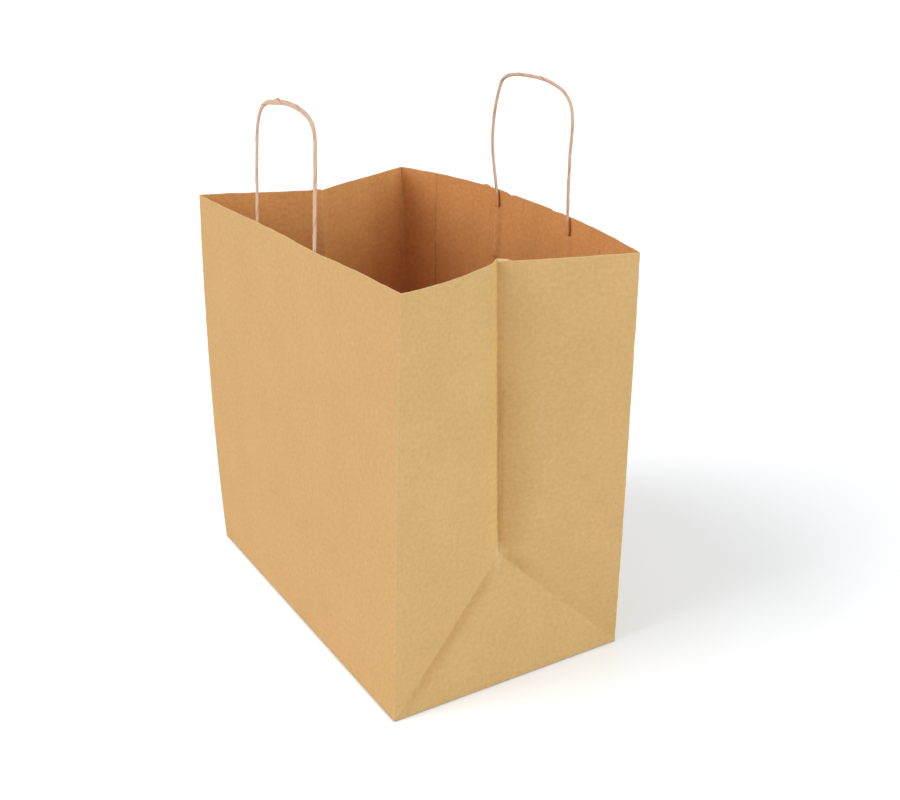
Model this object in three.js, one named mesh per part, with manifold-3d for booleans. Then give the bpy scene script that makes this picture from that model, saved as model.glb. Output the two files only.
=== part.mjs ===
// A brown kraft paper carrier bag with two twisted-paper handles, standing open.
// The bag is one sheet of paper: a tube with a pasted seam, a pleat in each narrow side and a
// folded block bottom. Each handle is a paper cord whose ends are pasted between two strips.
// Millimetres, +Z up. The origin is the centre of the base, and the width runs along X.

import * as THREE from 'three';
import { mergeVertices } from 'three/addons/utils/BufferGeometryUtils.js';
import Module from 'manifold-3d';

// The sheet, as it is cut and creased
const width = 320;
const depth = 200;
const height = 320;
const paper = 0.15;
const seamLap = 20;
const seamFromCorner = 40;
const flapLap = 20;
const flapGroove = 0.5;

// How the opened bag stands: each rim corner's shift from straight above its base corner, and
// how far the upright edge below it bows sideways halfway up
const frontLeft = { x: -1, y: -1, shift: [0.2, -1.7, -2], bow: [-2.5, -3] };
const frontRight = { x: 1, y: -1, shift: [-1.3, 10, 0], bow: [0, -0.8] };
const backRight = { x: 1, y: 1, shift: [1.8, -2.2, 0], bow: [0.6, 0.6] };
const backLeft = { x: -1, y: 1, shift: [2.7, -13.6, 1], bow: [0, 0] };

// The back panel bows outward at its rim, most at this share of the width from its left edge
const backBow = 25;
const backBowPeak = 0.35;

// Each side's bottom triangle leans in by this much at the point where its creases meet, and
// the rim of each half of a pleated side curls outward
const triangleLean = 20;
const pleatDip = 1.5;
const rightSide = {
  x: 1,
  corners: { front: frontRight, back: backRight },
  curl: { front: 5, back: 2 },
};
const leftSide = {
  x: -1,
  corners: { front: frontLeft, back: backLeft },
  curl: { front: 1, back: 1 },
};

// The handles and the strips that hold them: a cord's legs reach down between the strips by
// the leg depth, and come straight up out of them by the leg rise
const cordDiameter = 3;
const legSpacing = 98;
const legDepth = 40;
const legRise = 4;
const patchWidth = 190;
const patchHeight = 45;
const patchDrop = 14;
const patchPaper = 0.15;
const pasteGap = 0.3;

// Each handle above its strips: distance from the handle's middle, and height above the rim
const frontHandle = {
  centre: -7,
  lean: 0.03,
  arch: [
    [-48.5, 0], [-47, 22], [-46, 41], [-44.5, 60], [-41.5, 75], [-35.5, 84], [-25, 89.5],
    [-11, 92.5], [4, 94.5], [19, 94.5], [33, 92], [43.5, 87], [48, 79], [49.3, 66],
    [49, 44], [48.8, 22], [48.8, 0],
  ],
};
const backHandle = {
  centre: 12,
  lean: 0,
  arch: [
    [-52, 2], [-59, 24], [-62.5, 44], [-61, 62], [-57, 79], [-52.5, 89], [-44, 94.5],
    [-33, 97.3], [-16, 98.5], [3.5, 98.5], [20.5, 96.7], [32.5, 93.4], [41, 88], [45.3, 80],
    [46.8, 64], [46, 46], [45.8, 24], [47, 2],
  ],
};

// How finely the curved sheet is divided
const pleatColumns = 6;
const frontColumns = 12;
const backColumns = 20;
const upperRows = 8;
const flatColumns = 16;
const cordSides = 8;
const cordSteps = 56;

const halfWidth = width / 2;
const halfDepth = depth / 2;
// The flat layers of the bottom stop this far short of the walls' outer faces, inside the paper
const bottomInset = 0.8 * paper;
// Corners closer than this are one corner
const sameCorner = 1e-4;
const { lerp } = THREE.MathUtils;

// A bulge that is 0 at both ends and 1 in the middle.
function swell(share) {
  return 4 * share * (1 - share);
}

// Upright edges: the four creases that stand on the corners of the base.
function edgePoint(corner, up) {
  const rise = up / height;
  return new THREE.Vector3(
    corner.x * halfWidth + corner.shift[0] * rise + corner.bow[0] * swell(rise),
    corner.y * halfDepth + corner.shift[1] * rise + corner.bow[1] * swell(rise),
    up + corner.shift[2] * rise,
  );
}

// Wide panels: along runs from minus to plus half the width, up the paper from the base crease.
function frontPoint(along, up) {
  return edgePoint(frontLeft, up).lerp(edgePoint(frontRight, up), along / width + 0.5);
}

function backPoint(along, up) {
  const share = along / width + 0.5;
  const point = edgePoint(backLeft, up).lerp(edgePoint(backRight, up), share);
  const reach = share < backBowPeak ? backBowPeak : 1 - backBowPeak;
  point.y += backBow * (up / height) * (1 - ((share - backBowPeak) / reach) ** 2);
  return point;
}

// Pleated sides: the foot of the pleat is where the two bottom creases meet it, and its top is
// as far in as the paper between the two rim corners allows.
function pleatFoot(side) {
  const footHeight = Math.sqrt(halfDepth ** 2 - triangleLean ** 2);
  return new THREE.Vector3(side.x * (halfWidth - triangleLean), 0, footHeight);
}

function pleatTop(side) {
  const front = edgePoint(side.corners.front, height);
  const back = edgePoint(side.corners.back, height);
  const top = front.clone().lerp(back, 0.5);
  const slack = Math.max(halfDepth ** 2 - (front.distanceTo(back) / 2) ** 2, 0);
  top.x -= side.x * Math.sqrt(slack);
  top.z -= pleatDip;
  return top;
}

// One half of a pleated side, front or back: across runs from 0 at its corner to 1 at the pleat.
function pleatPoint(side, half, across, up) {
  const corner = side.corners[half];
  const foot = pleatFoot(side);
  const base = edgePoint(corner, 0);
  const creaseAcross = Math.min(up / halfDepth, 1);
  if (across >= creaseAcross && up < halfDepth) {
    const lean = foot.clone().sub(new THREE.Vector3(side.x * halfWidth, 0, 0));
    base.y *= 1 - across;
    return base.addScaledVector(lean, creaseAcross);
  }
  const upper = (up - halfDepth) / (height - halfDepth);
  const crease = up < halfDepth ? base.lerp(foot, creaseAcross) : foot.lerp(pleatTop(side), upper);
  const share = across / creaseAcross;
  const point = edgePoint(corner, up).lerp(crease, share);
  point.x += side.x * side.curl[half] * swell(share) * (up / height) ** 2;
  return point;
}

// The columns of the folded tube, in order round the bag from the front left edge. A diagonal
// says which way a column's cells are split, so that the bottom creases run along the splits.
function tubeColumns() {
  const columns = [];
  for (let i = 0; i < frontColumns; i += 1) {
    const along = lerp(-halfWidth, halfWidth, i / frontColumns);
    columns.push({ place: (up) => frontPoint(along, up), diagonal: 'rising' });
  }
  addPleat(columns, rightSide, ['front', 'back']);
  const lapEdge = seamFromCorner - halfWidth;
  for (let i = 0; i < backColumns; i += 1) {
    const along = lerp(halfWidth, lapEdge, i / backColumns);
    columns.push({ place: (up) => backPoint(along, up), diagonal: 'rising' });
  }
  columns.push({ place: (up) => backPoint(lapEdge, up), diagonal: 'rising', seam: 'inner' });
  const outerEdge = lapEdge - seamLap;
  columns.push({ place: (up) => backPoint(outerEdge, up), diagonal: 'rising', seam: 'outer' });
  const beforeCorner = lerp(outerEdge, -halfWidth, 0.5);
  columns.push({ place: (up) => backPoint(beforeCorner, up), diagonal: 'rising', seam: 'past' });
  addPleat(columns, leftSide, ['back', 'front']);
  return columns;
}

// A pleated side's columns, in towards its pleat on one half and out again on the other.
function addPleat(columns, side, [halfIn, halfOut]) {
  for (let i = 0; i < pleatColumns; i += 1) {
    const across = i / pleatColumns;
    columns.push({ place: (up) => pleatPoint(side, halfIn, across, up), diagonal: 'rising' });
  }
  for (let i = 0; i < pleatColumns; i += 1) {
    const across = 1 - i / pleatColumns;
    columns.push({ place: (up) => pleatPoint(side, halfOut, across, up), diagonal: 'falling' });
  }
}

function tubeRows() {
  const rows = [];
  for (let i = 0; i < pleatColumns; i += 1) rows.push((halfDepth * i) / pleatColumns);
  for (let i = 0; i <= upperRows; i += 1) rows.push(lerp(halfDepth, height, i / upperRows));
  return rows;
}

// The two triangles of the cell to the right of a column and above a row, as [column, row].
function cellTriangles(column, nextColumn, row, diagonal) {
  const lowLeft = [column, row];
  const lowRight = [nextColumn, row];
  const topRight = [nextColumn, row + 1];
  const topLeft = [column, row + 1];
  return diagonal === 'rising'
    ? [[lowLeft, lowRight, topRight], [lowLeft, topRight, topLeft]]
    : [[lowLeft, lowRight, topLeft], [lowRight, topRight, topLeft]];
}

// At each point, the direction that moves every panel meeting there out by the same distance.
function outwardMitres(points, columns, rowCount) {
  const sums = points.map((line) => line.map(() => ({ normal: new THREE.Vector3(), angle: 0 })));
  const triangle = new THREE.Triangle();
  for (let c = 0; c < columns.length; c += 1) {
    const next = (c + 1) % columns.length;
    for (let r = 0; r < rowCount - 1; r += 1) {
      for (const corners of cellTriangles(c, next, r, columns[c].diagonal)) {
        const at = corners.map(([column, row]) => points[column][row]);
        const normal = triangle.set(...at).getNormal(new THREE.Vector3());
        corners.forEach(([column, row], k) => {
          const before = at[(k + 2) % 3].clone().sub(at[k]);
          const after = at[(k + 1) % 3].clone().sub(at[k]);
          const angle = before.angleTo(after);
          const level = row === 0 ? normal.clone().setZ(0) : normal;
          sums[column][row].normal.addScaledVector(level, angle);
          sums[column][row].angle += angle;
        });
      }
    }
  }
  return sums.map((line) => line.map(({ normal, angle }) => {
    const mean = normal.divideScalar(angle);
    return mean.divideScalar(mean.lengthSq());
  }));
}

// The paper's two faces at each column. At the seam the end that is joined to the left side
// lies inside the wide panel, so there the sheet is double.
function tubeLayers(columns) {
  const layers = [];
  columns.forEach((column, index) => {
    const add = (outer, inner) => layers.push({ index, outer, inner });
    if (column.seam === 'inner') {
      add(0, paper);
      add(0, 2 * paper);
    } else if (column.seam === 'outer') {
      add(0, 2 * paper);
      add(paper, 2 * paper);
    } else if (column.seam === 'past') {
      add(paper, 2 * paper);
    } else {
      add(0, paper);
    }
  });
  return layers;
}

function meshFrom(vertices, triangles) {
  const geometry = new THREE.BufferGeometry();
  const numbers = vertices.flatMap((v) => [v.x, v.y, v.z]);
  geometry.setAttribute('position', new THREE.Float32BufferAttribute(numbers, 3));
  geometry.setIndex(triangles.flat());
  return closedGeometry(geometry);
}

// Merges shared corners and drops the triangles that a merge has closed up.
function closedGeometry(geometry) {
  geometry.deleteAttribute('normal');
  geometry.deleteAttribute('uv');
  const merged = mergeVertices(geometry, sameCorner);
  const index = merged.index.array;
  const kept = [];
  for (let i = 0; i < index.length; i += 3) {
    const [a, b, c] = [index[i], index[i + 1], index[i + 2]];
    if (a !== b && b !== c && c !== a) kept.push(a, b, c);
  }
  merged.setIndex(kept);
  return merged;
}

// The walls of the bag: the folded tube, open at the top and at the base.
function tubeWalls() {
  const columns = tubeColumns();
  const rows = tubeRows();
  const points = columns.map((column) => rows.map((up) => column.place(up)));
  const mitres = outwardMitres(points, columns, rows.length);
  const layers = tubeLayers(columns);
  const vertices = [];
  for (const { index, outer, inner } of layers) {
    rows.forEach((up, r) => {
      const face = (inset) => points[index][r].clone().addScaledVector(mitres[index][r], -inset);
      vertices.push(face(outer), face(inner));
    });
  }
  const outerAt = (layer, r) => 2 * (layer * rows.length + r);
  const innerAt = (layer, r) => outerAt(layer, r) + 1;
  const triangles = [];
  for (let a = 0; a < layers.length; a += 1) {
    const b = (a + 1) % layers.length;
    const { diagonal } = columns[layers[a].index];
    for (let r = 0; r < rows.length - 1; r += 1) {
      for (const corners of cellTriangles(a, b, r, diagonal)) {
        triangles.push(corners.map(([layer, row]) => outerAt(layer, row)));
        triangles.push(corners.map(([layer, row]) => innerAt(layer, row)).reverse());
      }
    }
    const top = rows.length - 1;
    triangles.push([outerAt(a, top), outerAt(b, top), innerAt(b, top)]);
    triangles.push([outerAt(a, top), innerAt(b, top), innerAt(a, top)]);
    triangles.push([outerAt(b, 0), outerAt(a, 0), innerAt(b, 0)]);
    triangles.push([outerAt(a, 0), innerAt(a, 0), innerAt(b, 0)]);
  }
  return meshFrom(vertices, triangles);
}

// One layer of the block bottom: a flat outline in X and Y, raised by so many sheets.
function bottomLayer(outline, level) {
  const shape = new THREE.Shape(outline.map(([x, y]) => new THREE.Vector2(x, y)));
  const geometry = new THREE.ExtrudeGeometry(shape, { depth: paper, bevelEnabled: false });
  geometry.translate(0, 0, level * paper);
  return closedGeometry(geometry);
}

// The block bottom, from the ground up: the front flap, the back flap that laps it, the paper
// turned under at the four corners, and the two side flaps inside the bag. The flaps' ends are
// cut off at 45 degrees by the folds that run in from the corners of the base.
function bottomLayers() {
  const endX = halfWidth - bottomInset;
  const edgeY = halfDepth - bottomInset;
  const lap = flapLap / 2;
  const flapX = endX - edgeY - lap;
  const backEdge = lap + flapGroove;
  const backX = endX - edgeY + backEdge;
  const layers = [
    bottomLayer([[-endX, -edgeY], [endX, -edgeY], [flapX, lap], [-flapX, lap]], 0),
    bottomLayer([[endX, edgeY], [-endX, edgeY], [-backX, backEdge], [backX, backEdge]], 0),
    bottomLayer(rectangle(-flapX, flapX, -lap, backEdge + flapGroove), 1),
  ];
  for (const side of [-1, 1]) {
    const [low, high] = side < 0 ? [-endX, -flapX] : [flapX, endX];
    for (const end of [-1, 1]) {
      const fold = [[side * endX, end * edgeY], [side * flapX, end * edgeY], [side * flapX, -end * lap]];
      layers.push(bottomLayer(fold, 1));
    }
    layers.push(bottomLayer(rectangle(low, high, -edgeY, edgeY), 2));
  }
  return layers;
}

function rectangle(left, right, front, back) {
  return [[left, front], [right, front], [right, back], [left, back]];
}

const wasm = await Module();
wasm.setup();

function toManifold(geometry) {
  return new wasm.Manifold(new wasm.Mesh({
    numProp: 3,
    vertProperties: new Float32Array(geometry.attributes.position.array),
    triVerts: new Uint32Array(geometry.index.array),
  }));
}

function toGeometry(solid) {
  const mesh = solid.getMesh();
  const geometry = new THREE.BufferGeometry();
  geometry.setAttribute('position', new THREE.BufferAttribute(mesh.vertProperties, 3));
  geometry.setIndex(new THREE.BufferAttribute(mesh.triVerts, 1));
  return geometry;
}

function bagBody() {
  let body = toManifold(tubeWalls());
  for (const layer of bottomLayers()) body = body.add(toManifold(layer));
  return toGeometry(body);
}

// A point inside the bag, at a distance in from a wide panel's inner face. Above the rim it
// carries on upward, and leans in by the handle's lean.
function inFrom(wall, along, up, distance) {
  const step = 1;
  const level = Math.min(up, height - step);
  const across = wall.place(along + step, level).sub(wall.place(along - step, level));
  const rising = wall.place(along, level + step).sub(wall.place(along, level - step));
  const inward = rising.cross(across).multiplyScalar(wall.facing).normalize();
  const point = wall.place(along, Math.min(up, height)).addScaledVector(inward, paper + distance);
  const above = Math.max(up - height, 0);
  point.y += wall.facing * wall.handle.lean * above;
  point.z += above;
  return point;
}

// The strips: the first lies on the wall, and the second over the cord's two ends.
const firstStripFace = pasteGap;
const secondStripFace = firstStripFace + patchPaper + pasteGap;
const cordRadius = cordDiameter / 2;
const cordCentre = secondStripFace + cordRadius;

// How high the second strip stands off over a cord: round over its top, and then straight down
// to the flat at 45 degrees.
const ridgeRadius = cordRadius + pasteGap;
const ridgeTurn = ridgeRadius * Math.SQRT1_2;
const ridgeFoot = 2 * ridgeTurn + cordRadius;

function ridgeHeight(offset) {
  if (offset <= ridgeTurn) return cordRadius + Math.sqrt(ridgeRadius ** 2 - offset ** 2);
  return Math.max(ridgeFoot - offset, 0);
}

function legPositions(wall) {
  const { centre } = wall.handle;
  return [centre - legSpacing / 2, centre + legSpacing / 2];
}

// Where a strip is divided along its width: evenly on the flats, and finely over each ridge.
function stripColumns(wall, ridged) {
  const even = [];
  for (let i = 0; i <= flatColumns; i += 1) {
    even.push(wall.handle.centre + patchWidth * (i / flatColumns - 0.5));
  }
  if (!ridged) return even;
  const legs = legPositions(wall);
  const columns = even.filter((along) => legs.every((leg) => Math.abs(along - leg) > ridgeFoot));
  for (const leg of legs) {
    columns.push(leg - ridgeFoot, leg + ridgeFoot);
    for (const share of [-1, -0.5, 0, 0.5, 1]) columns.push(leg + share * ridgeTurn);
  }
  return columns.sort((a, b) => a - b);
}

function stripSolid(wall, ridged) {
  const columns = stripColumns(wall, ridged);
  const rows = [0, 0.5, 1].map((share) => height - patchDrop - patchHeight * share);
  const vertices = [];
  for (const along of columns) {
    const offsets = legPositions(wall).map((leg) => Math.abs(along - leg));
    const face = ridged ? secondStripFace + ridgeHeight(Math.min(...offsets)) : firstStripFace;
    for (const up of rows) {
      vertices.push(inFrom(wall, along, up, face), inFrom(wall, along, up, face + patchPaper));
    }
  }
  const wallSide = (c, r) => 2 * (c * rows.length + r);
  const bagSide = (c, r) => wallSide(c, r) + 1;
  const triangles = [];
  const addQuad = (a, b, c, d) => triangles.push([a, b, c], [a, c, d]);
  const last = columns.length - 1;
  const low = rows.length - 1;
  for (let c = 0; c < last; c += 1) {
    const d = c + 1;
    for (let r = 0; r < low; r += 1) {
      addQuad(wallSide(c, r), wallSide(c, r + 1), wallSide(d, r + 1), wallSide(d, r));
      addQuad(bagSide(c, r), bagSide(d, r), bagSide(d, r + 1), bagSide(c, r + 1));
    }
    addQuad(wallSide(c, 0), wallSide(d, 0), bagSide(d, 0), bagSide(c, 0));
    addQuad(wallSide(d, low), wallSide(c, low), bagSide(c, low), bagSide(d, low));
  }
  for (let r = 0; r < low; r += 1) {
    addQuad(wallSide(0, r), bagSide(0, r), bagSide(0, r + 1), wallSide(0, r + 1));
    addQuad(wallSide(last, r + 1), bagSide(last, r + 1), bagSide(last, r), wallSide(last, r));
  }
  if (wall.facing < 0) triangles.forEach((triangle) => triangle.reverse());
  return meshFrom(vertices, triangles);
}

// A handle: one paper cord, up from between the strips on one side and down into the other.
function cordSolid(wall) {
  const { centre, arch } = wall.handle;
  const stripTop = -patchDrop;
  const leg = [stripTop - legDepth, stripTop - legDepth / 2, stripTop, stripTop + legRise];
  const left = leg.map((rise) => [-legSpacing / 2, rise]);
  const right = leg.map((rise) => [legSpacing / 2, rise]).reverse();
  const route = [...left, ...arch, ...right].map(([across, rise]) => (
    inFrom(wall, centre + across, height + rise, cordCentre)
  ));
  const path = new THREE.CatmullRomCurve3(route, false, 'centripetal');
  const section = new THREE.Shape();
  section.absarc(0, 0, cordRadius, 0, 2 * Math.PI);
  return new THREE.ExtrudeGeometry(section, {
    steps: cordSteps,
    curveSegments: cordSides / 2,
    bevelEnabled: false,
    extrudePath: path,
  });
}

const frontWall = { place: frontPoint, facing: 1, handle: frontHandle };
const backWall = { place: backPoint, facing: -1, handle: backHandle };

const kraft = { color: 0xdbae75, roughness: 0.85, metalness: 0 };
const stripPaper = { color: 0xc79a62, roughness: 0.9, metalness: 0 };
const cordPaper = { color: 0xd9bd9a, roughness: 0.8, metalness: 0 };

const bag = new THREE.Group();

function addPiece(name, geometry, finish) {
  const piece = new THREE.Mesh(geometry, new THREE.MeshStandardMaterial(finish));
  piece.name = name;
  bag.add(piece);
}

addPiece('bag_body', bagBody(), kraft);
for (const [name, wall] of [['front', frontWall], ['back', backWall]]) {
  addPiece(`${name}_patch_outer`, stripSolid(wall, false), stripPaper);
  addPiece(`${name}_patch_inner`, stripSolid(wall, true), stripPaper);
  addPiece(`${name}_handle_cord`, cordSolid(wall), cordPaper);
}

export default bag;
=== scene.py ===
# A brown kraft paper carrier bag, standing open, with two twisted-paper handles.
# Metres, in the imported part's frame: X along the width, Y towards the back panel, Z up, with the
# origin at the centre of the base.
import math

import bpy
import numpy as np
from mathutils import Matrix, Vector


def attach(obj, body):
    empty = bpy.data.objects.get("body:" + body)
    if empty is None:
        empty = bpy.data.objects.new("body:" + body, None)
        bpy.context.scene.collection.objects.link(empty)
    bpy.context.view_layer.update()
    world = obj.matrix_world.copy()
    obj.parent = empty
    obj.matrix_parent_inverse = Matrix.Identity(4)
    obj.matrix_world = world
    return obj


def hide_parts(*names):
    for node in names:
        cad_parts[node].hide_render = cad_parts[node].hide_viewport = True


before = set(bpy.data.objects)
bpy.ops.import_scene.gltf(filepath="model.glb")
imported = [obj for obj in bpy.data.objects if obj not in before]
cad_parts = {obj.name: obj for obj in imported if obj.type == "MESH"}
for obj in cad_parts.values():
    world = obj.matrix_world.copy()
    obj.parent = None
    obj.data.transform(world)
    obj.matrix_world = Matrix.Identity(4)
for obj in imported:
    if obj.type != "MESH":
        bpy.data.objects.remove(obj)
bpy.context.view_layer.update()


# The bag. One sheet of brown kraft paper is creased, folded into a tube with a pasted seam at the
# back, pleated at both narrow sides, and folded and pasted into a flat block bottom. A tree lays
# out the flat sheet and folds it, so each of its points keeps its place on the flat sheet.
width = 0.320
depth = 0.200
height = 0.320
paper = 0.00015
# The distance between the sheet's points divides every crease's place on it
grid_step = 0.010 / 3
seam_lap = 5 * grid_step
seam_strip = 11 * grid_step
triangle_lean = 0.020
pleat_dip = 0.0015
back_bow = 0.025
back_bow_peak = 0.35
blank_length = 2 * (width + depth) + seam_lap

bag_sizes = {
    "Width": width,
    "Depth": depth,
    "Height": height,
    "Blank Length": blank_length,
    "Points Along": round(blank_length / grid_step) + 1,
    "Points Up": round(height / grid_step) + 1,
    "Seam Strip": seam_strip,
    "Seam Lap": seam_lap,
    "Seam Step": 1.15 * paper,
    "Triangle Lean": triangle_lean,
    "Pleat Dip": pleat_dip,
    "Back Bow": back_bow,
    "Back Bow Peak": back_bow_peak,
    "Front Left Shift": (0.0002, -0.0017, -0.002),
    "Front Left Bow": (-0.0025, -0.003, 0.0),
    "Front Right Shift": (-0.0013, 0.010, 0.0),
    "Front Right Bow": (0.0, -0.0008, 0.0),
    "Back Right Shift": (0.0018, -0.0022, 0.0),
    "Back Right Bow": (0.0006, 0.0006, 0.0),
    "Back Left Shift": (0.0027, -0.0136, 0.001),
    "Back Left Bow": (0.0, 0.0, 0.0),
    "Right Curl Front": 0.005,
    "Right Curl Back": 0.002,
    "Left Curl Front": 0.001,
    "Left Curl Back": 0.001,
    "Pleat Pinch": 0.0020,
    "Pinch Width": 0.014,
    "Pinch Start": 0.125,
    "Flat Foot Height": 0.06,
    "Waves": 0.0011,
    "Waves To The Metre": 14.0,
    "Dimples": 0.00022,
    "Dimples To The Metre": 42.0,
    "Crumple": 0.0009,
    "Crumples To The Metre": 120.0,
    "Crumple Reach": 0.028,
    "Ragged Rim": 0.0003,
    "Nicks To The Metre": 60.0,
    "Rim From": 0.998,
    "Seed": 7.0,
}
# Waves run further up the bag than across it
wave_stretch = (1.0, 1.0, 0.3)
# Raised bits and nicks of the cut edge: the place along the sheet, half its width, and its rise.
# Each reaches its full rise in a third of its half width.
mark_steepness = 3.0
rim_marks = (
    (seam_strip + 0.6225, 0.0070, 0.0013),
    (seam_strip + 0.1040, 0.0045, 0.0010),
    (seam_strip + 0.9410, 0.0040, 0.0010),
    (seam_strip + 0.9066, 0.0038, -0.0014),
    (seam_strip + 0.8440, 0.0050, -0.0007),
)
# Where the rim sways out or in: the place along the sheet, half its width, and the push outwards
rim_sways = (
    (seam_strip + 0.394, 0.050, 0.0015),
    (seam_strip + 0.310, 0.085, -0.0008),
)


class Field:
    """A number or vector that a node tree works out at every point, written like a formula."""

    def __init__(self, tree, socket):
        self.tree = tree
        self.socket = socket

    def __add__(self, other):
        return calc("ADD", self, other)

    def __radd__(self, other):
        return calc("ADD", other, self)

    def __sub__(self, other):
        return calc("SUBTRACT", self, other)

    def __rsub__(self, other):
        return calc("SUBTRACT", other, self)

    def __mul__(self, other):
        return calc("MULTIPLY", self, other)

    def __rmul__(self, other):
        return calc("MULTIPLY", other, self)

    def __truediv__(self, other):
        return calc("DIVIDE", self, other)


def feed(tree, socket, value):
    """Gives a node's input a field, another node's output or a plain value."""
    if isinstance(value, Field):
        tree.links.new(value.socket, socket)
    elif isinstance(value, bpy.types.NodeSocket):
        tree.links.new(value, socket)
    elif socket.type == "VECTOR" and isinstance(value, (int, float)):
        socket.default_value = (value, value, value)
    else:
        socket.default_value = value


def calc(operation, *terms):
    """One step of arithmetic on fields: on vectors if any term is one, and else on numbers."""
    tree = next(term.tree for term in terms if isinstance(term, Field))
    vectors = [
        isinstance(term, tuple) or (isinstance(term, Field) and term.socket.type == "VECTOR")
        for term in terms
    ]
    node = tree.nodes.new("ShaderNodeVectorMath" if any(vectors) else "ShaderNodeMath")
    node.operation = operation
    for socket, term in zip(node.inputs, terms):
        feed(tree, socket, term)
    measures = any(vectors) and operation in ("DISTANCE", "LENGTH", "DOT_PRODUCT")
    return Field(tree, node.outputs["Value" if measures or not any(vectors) else "Vector"])


def add_node(tree, kind, inputs=None, output=0, **settings):
    """Adds a node, sets its options, fills its inputs by name, and returns one output as a field."""
    node = tree.nodes.new(kind)
    for name, value in settings.items():
        setattr(node, name, value)
    for name, value in (inputs or {}).items():
        feed(tree, node.inputs[name], value)
    return Field(tree, node.outputs[output])


def mix(start, end, share):
    return start + (end - start) * share


def pick(condition, yes, no):
    return no + (yes - no) * condition


def below(value, limit):
    return calc("LESS_THAN", value, limit)


def swell(share):
    """A bulge that is 0 at both ends and 1 in the middle."""
    return share * (1.0 - share) * 4.0


def parts_of(vector):
    node = vector.tree.nodes.new("ShaderNodeSeparateXYZ")
    feed(vector.tree, node.inputs[0], vector)
    return [Field(vector.tree, socket) for socket in node.outputs]


def join_parts(tree, x, y, z):
    return add_node(tree, "ShaderNodeCombineXYZ", {"X": x, "Y": y, "Z": z})


def attribute(tree, name, kind="FLOAT_VECTOR"):
    return add_node(tree, "GeometryNodeInputNamedAttribute", {"Name": name}, data_type=kind)


def store(tree, geometry, name, value, kind="FLOAT_VECTOR"):
    node = tree.nodes.new("GeometryNodeStoreNamedAttribute")
    node.data_type = kind
    feed(tree, node.inputs["Geometry"], geometry)
    feed(tree, node.inputs["Name"], name)
    feed(tree, node.inputs["Value"], value)
    return Field(tree, node.outputs[0])


def uneven(tree, place, scale, detail=1.0):
    """Smooth noise from about -1 to 1 at a place, with so many features to the metre."""
    noise = add_node(
        tree,
        "ShaderNodeTexNoise",
        {"Vector": place, "Scale": scale, "Detail": detail},
        noise_dimensions="3D",
    )
    return noise * 4.0 - 2.0


socket_kinds = {
    float: "NodeSocketFloat",
    int: "NodeSocketInt",
    tuple: "NodeSocketVector",
    bpy.types.Material: "NodeSocketMaterial",
}


def start_tree(name, sizes):
    """A Geometry Nodes tree with a named input for each size, and those inputs as fields."""
    tree = bpy.data.node_groups.new(name, "GeometryNodeTree")
    tree.interface.new_socket("Geometry", in_out="OUTPUT", socket_type="NodeSocketGeometry")
    tree.interface.new_socket("Geometry", in_out="INPUT", socket_type="NodeSocketGeometry")
    for label, value in sizes.items():
        kind = socket_kinds[type(value)]
        tree.interface.new_socket(label, in_out="INPUT", socket_type=kind)
    source = tree.nodes.new("NodeGroupInput")
    return tree, {socket.name: Field(tree, socket) for socket in source.outputs if socket.name}


def end_tree(tree, geometry, material):
    """Every tree ends the same way, with whole meshes and their material."""
    whole = add_node(tree, "GeometryNodeRealizeInstances", {"Geometry": geometry})
    node = tree.nodes.new("GeometryNodeSetMaterial")
    feed(tree, node.inputs["Geometry"], whole)
    feed(tree, node.inputs["Material"], material)
    output = tree.nodes.new("NodeGroupOutput")
    tree.links.new(node.outputs[0], output.inputs[0])


def make_piece(name, tree, sizes, start=None):
    """The plain mesh that a tree makes with these sizes, from a starting mesh where it needs one."""
    maker = bpy.data.objects.new(name + "_maker", start or bpy.data.meshes.new(name + "_start"))
    bpy.context.scene.collection.objects.link(maker)
    modifier = maker.modifiers.new("Maker", "NODES")
    modifier.node_group = tree
    for socket in tree.interface.items_tree:
        if socket.name in sizes:
            modifier[socket.identifier] = sizes[socket.name]
    mesh = evaluated_mesh(maker, name)
    maker.modifiers.clear()
    bpy.data.objects.remove(maker)
    piece = bpy.data.objects.new(name, mesh)
    bpy.context.scene.collection.objects.link(piece)
    return piece


def evaluated_mesh(piece, name):
    depsgraph = bpy.context.evaluated_depsgraph_get()
    depsgraph.update()
    result = piece.evaluated_get(depsgraph)
    mesh = bpy.data.meshes.new_from_object(
        result, preserve_all_data_layers=True, depsgraph=depsgraph
    )
    mesh.name = name
    return mesh


def thicken(piece, thickness, sharp_above, inside=None):
    """Gives a sheet its thickness on the inner side, and keeps its folds and cut edges crisp."""
    modifier = piece.modifiers.new("Thickness", "SOLIDIFY")
    if inside:
        piece.data.materials.append(inside)
        modifier.material_offset = 1
    modifier.thickness = thickness
    modifier.offset = -1.0
    modifier.use_even_offset = True
    flat = piece.data
    piece.data = evaluated_mesh(piece, piece.name)
    piece.modifiers.clear()
    bpy.data.meshes.remove(flat)
    piece.data.polygons.foreach_set("use_smooth", [True] * len(piece.data.polygons))
    piece.data.set_sharp_from_angle(angle=math.radians(sharp_above))


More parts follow.
